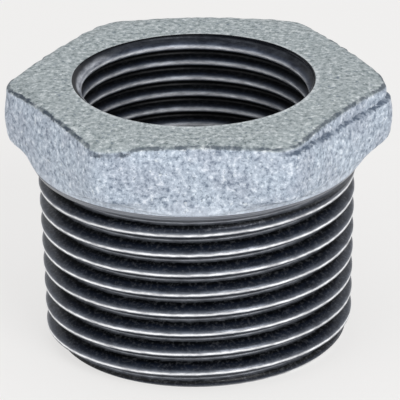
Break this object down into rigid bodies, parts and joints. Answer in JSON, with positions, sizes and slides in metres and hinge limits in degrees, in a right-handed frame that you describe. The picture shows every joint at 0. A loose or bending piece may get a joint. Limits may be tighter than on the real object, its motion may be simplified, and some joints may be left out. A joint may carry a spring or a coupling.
{
  "type": "hexagon reducing bushing",
  "caption": "Hexagon reducing bushing in galvanized cast iron: tapered pipe thread outside, parallel pipe thread inside, hexagon head for a wrench.",
  "frame": {"origin": "centre of the threaded end's face, on which the bushing stands", "axes": "+Z along the pipe axis from the threaded end to the hexagon head; two flats of the head face -Y and +Y, and two corners lie on the X axis"},
  "size_m": [0.0414, 0.0368, 0.029],
  "materials": {
    "galvanized_iron": "hot-dip galvanized, matt; threads cut after dipping, so bare"
  },
  "bodies": {
    "root": {"hex_bushing": "galvanized_iron"}
  },
  "joints": []
}
